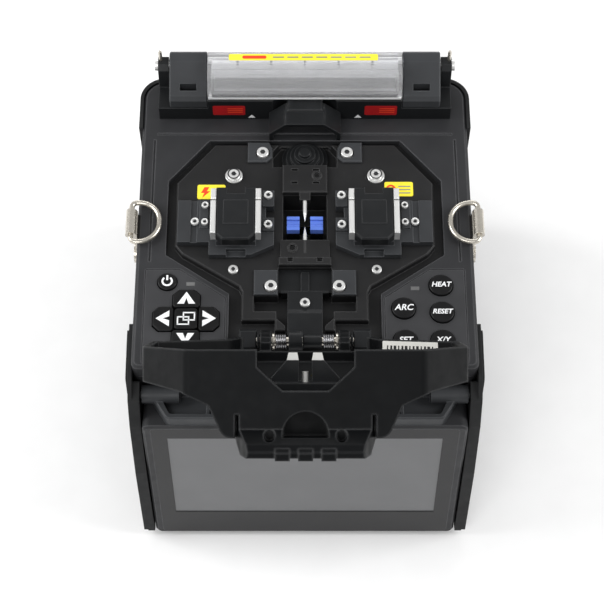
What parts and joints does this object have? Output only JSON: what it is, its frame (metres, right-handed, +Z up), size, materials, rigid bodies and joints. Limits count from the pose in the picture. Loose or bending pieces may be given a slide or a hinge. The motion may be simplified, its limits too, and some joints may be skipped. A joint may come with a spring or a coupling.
{
  "type": "fiber fusion splicer",
  "caption": "Bench fibre fusion splicer with its windshield open over a fold-down screen, fibre clamps, keypads and a tube heater.",
  "frame": {"origin": "on the ground under the middle of the body", "axes": "+X to the operator's right, +Y to the heater at the rear, +Z up"},
  "size_m": [0.1464, 0.2117, 0.2009],
  "materials": {
    "casing": "satin",
    "cover": "satin",
    "splice_grey": "matte",
    "black_trim": "matte",
    "grey_clamp": "satin",
    "key_plastic": "gloss",
    "lamp_white": "gloss",
    "rubber": "matte",
    "bright_steel": "brushed",
    "nickel": "polished",
    "spring_steel": "satin",
    "die_cast": "matte",
    "white_ceramic": "gloss",
    "blue_ceramic": "gloss",
    "clear_plastic": "clear",
    "board_green": "satin",
    "screen_glass": "gloss",
    "display": "gloss",
    "battery_wrap": "matte"
  },
  "bodies": {
    "chassis": {"base_plate": "casing", "rubber_feet": "rubber", "lower_casing": "casing", "rear_panel": "black_trim", "top_deck": "casing", "splice_deck": "splice_grey", "keypad_panel_left": "casing", "keypad_panel_right": "casing", "status_lamps": "lamp_white", "front_guards": "rubber", "rear_bumpers": "rubber", "chassis_frame": "die_cast", "main_board": "board_green", "arc_transformer": "black_trim", "microscope_cameras": "die_cast", "bridge_ears": "grey_clamp", "deck_screws": "bright_steel", "electrode_holders": "splice_grey", "electrodes": "bright_steel", "vgroove_blocks": "blue_ceramic", "lens_dome": "black_trim", "camera_bridge": "grey_clamp", "centre_arm": "black_trim", "hinge_cheeks": "black_trim", "hinge_rod": "nickel", "hinge_springs": "spring_steel", "heater_base": "black_trim", "heater_trough": "spring_steel", "heater_rod": "bright_steel", "ring_lugs": "nickel"},
    "windshield": {"cover_shell": "cover", "presser_tips": "white_ceramic", "cover_pressers": "black_trim"},
    "screen": {"screen_housing": "casing", "screen_bezel": "screen_glass", "screen_display": "display", "screen_hood": "grey_clamp"},
    "stage_left_body": {"stage_left": "grey_clamp"},
    "stage_right_body": {"stage_right": "grey_clamp"},
    "fibre_clamp_left": {"clamp_lid_left": "black_trim", "clamp_bars_left": "bright_steel"},
    "fibre_clamp_right": {"clamp_lid_right": "black_trim", "clamp_bars_right": "bright_steel"},
    "heater_cover": {"heater_lid": "clear_plastic"},
    "heater_end_left": {"heater_clamp_left": "grey_clamp"},
    "heater_end_right": {"heater_clamp_right": "grey_clamp"},
    "ring_left": {"strap_ring_left": "nickel"},
    "ring_right": {"strap_ring_right": "nickel"},
    "battery": {"battery_pack": "battery_wrap"},
    "button_power": {"key_power": "key_plastic"},
    "button_heat": {"key_heat": "key_plastic"},
    "button_arc": {"key_arc": "key_plastic"},
    "button_reset": {"key_reset": "key_plastic"},
    "button_set": {"key_set": "key_plastic"},
    "button_axis": {"key_axis": "key_plastic"},
    "button_up": {"key_up": "key_plastic"},
    "button_down": {"key_down": "key_plastic"},
    "button_left": {"key_left": "key_plastic"},
    "button_right": {"key_right": "key_plastic"},
    "button_menu": {"key_menu": "key_plastic"}
  },
  "joints": [
    {"name": "cover_hinge", "type": "hinge", "parent": "chassis", "child": "windshield", "pos_m": [0, -0.047, 0.115], "axis": [-1, 0, 0], "range_deg": [0, 120]},
    {"name": "screen_hinge", "type": "hinge", "parent": "chassis", "child": "screen", "pos_m": [0, -0.061, 0.0965], "axis": [1, 0, 0], "range_deg": [-90, 0]},
    {"name": "stage_left_feed", "type": "slide", "parent": "chassis", "child": "stage_left_body", "axis": [1, 0, 0], "range_m": [-0.001, 0.001]},
    {"name": "stage_right_feed", "type": "slide", "parent": "chassis", "child": "stage_right_body", "axis": [1, 0, 0], "range_m": [-0.001, 0.001]},
    {"name": "clamp_left_hinge", "type": "hinge", "parent": "stage_left_body", "child": "fibre_clamp_left", "pos_m": [-0.028, 0.0164, 0.1204], "axis": [1, 0, 0], "range_deg": [-80, 0]},
    {"name": "clamp_right_hinge", "type": "hinge", "parent": "stage_right_body", "child": "fibre_clamp_right", "pos_m": [0.028, 0.0164, 0.1204], "axis": [1, 0, 0], "range_deg": [-80, 0]},
    {"name": "heater_cover_hinge", "type": "hinge", "parent": "chassis", "child": "heater_cover", "pos_m": [0, 0.077, 0.128], "axis": [1, 0, 0], "range_deg": [-90, 0]},
    {"name": "heater_end_left_hinge", "type": "hinge", "parent": "chassis", "child": "heater_end_left", "pos_m": [-0.0487, 0.077, 0.128], "axis": [1, 0, 0], "range_deg": [-85, 0]},
    {"name": "heater_end_right_hinge", "type": "hinge", "parent": "chassis", "child": "heater_end_right", "pos_m": [0.0487, 0.077, 0.128], "axis": [1, 0, 0], "range_deg": [-85, 0]},
    {"name": "ring_left_hinge", "type": "hinge", "parent": "chassis", "child": "ring_left", "pos_m": [-0.071, 0.0078, 0.1142], "axis": [0, -1, 0], "range_deg": [0, 190]},
    {"name": "ring_right_hinge", "type": "hinge", "parent": "chassis", "child": "ring_right", "pos_m": [0.071, 0.0078, 0.1142], "axis": [0, 1, 0], "range_deg": [0, 190]},
    {"name": "battery_slide", "type": "slide", "parent": "chassis", "child": "battery", "axis": [0, 1, 0], "range_m": [0, 0.06]},
    {"name": "press_power", "type": "slide", "parent": "chassis", "child": "button_power", "axis": [0, 0, -1], "range_m": [0, 0.0008], "stiffness_N_per_m": 600},
    {"name": "press_heat", "type": "slide", "parent": "chassis", "child": "button_heat", "axis": [0, 0, -1], "range_m": [0, 0.0008], "stiffness_N_per_m": 600},
    {"name": "press_arc", "type": "slide", "parent": "chassis", "child": "button_arc", "axis": [0, 0, -1], "range_m": [0, 0.0008], "stiffness_N_per_m": 600},
    {"name": "press_reset", "type": "slide", "parent": "chassis", "child": "button_reset", "axis": [0, 0, -1], "range_m": [0, 0.0008], "stiffness_N_per_m": 600},
    {"name": "press_set", "type": "slide", "parent": "chassis", "child": "button_set", "axis": [0, 0, -1], "range_m": [0, 0.0008], "stiffness_N_per_m": 600},
    {"name": "press_axis", "type": "slide", "parent": "chassis", "child": "button_axis", "axis": [0, 0, -1], "range_m": [0, 0.0008], "stiffness_N_per_m": 600},
    {"name": "press_up", "type": "slide", "parent": "chassis", "child": "button_up", "axis": [0, 0, -1], "range_m": [0, 0.0008], "stiffness_N_per_m": 600},
    {"name": "press_down", "type": "slide", "parent": "chassis", "child": "button_down", "axis": [0, 0, -1], "range_m": [0, 0.0008], "stiffness_N_per_m": 600},
    {"name": "press_left", "type": "slide", "parent": "chassis", "child": "button_left", "axis": [0, 0, -1], "range_m": [0, 0.0008], "stiffness_N_per_m": 600},
    {"name": "press_right", "type": "slide", "parent": "chassis", "child": "button_right", "axis": [0, 0, -1], "range_m": [0, 0.0008], "stiffness_N_per_m": 600},
    {"name": "press_menu", "type": "slide", "parent": "chassis", "child": "button_menu", "axis": [0, 0, -1], "range_m": [0, 0.0008], "stiffness_N_per_m": 600}
  ]
}
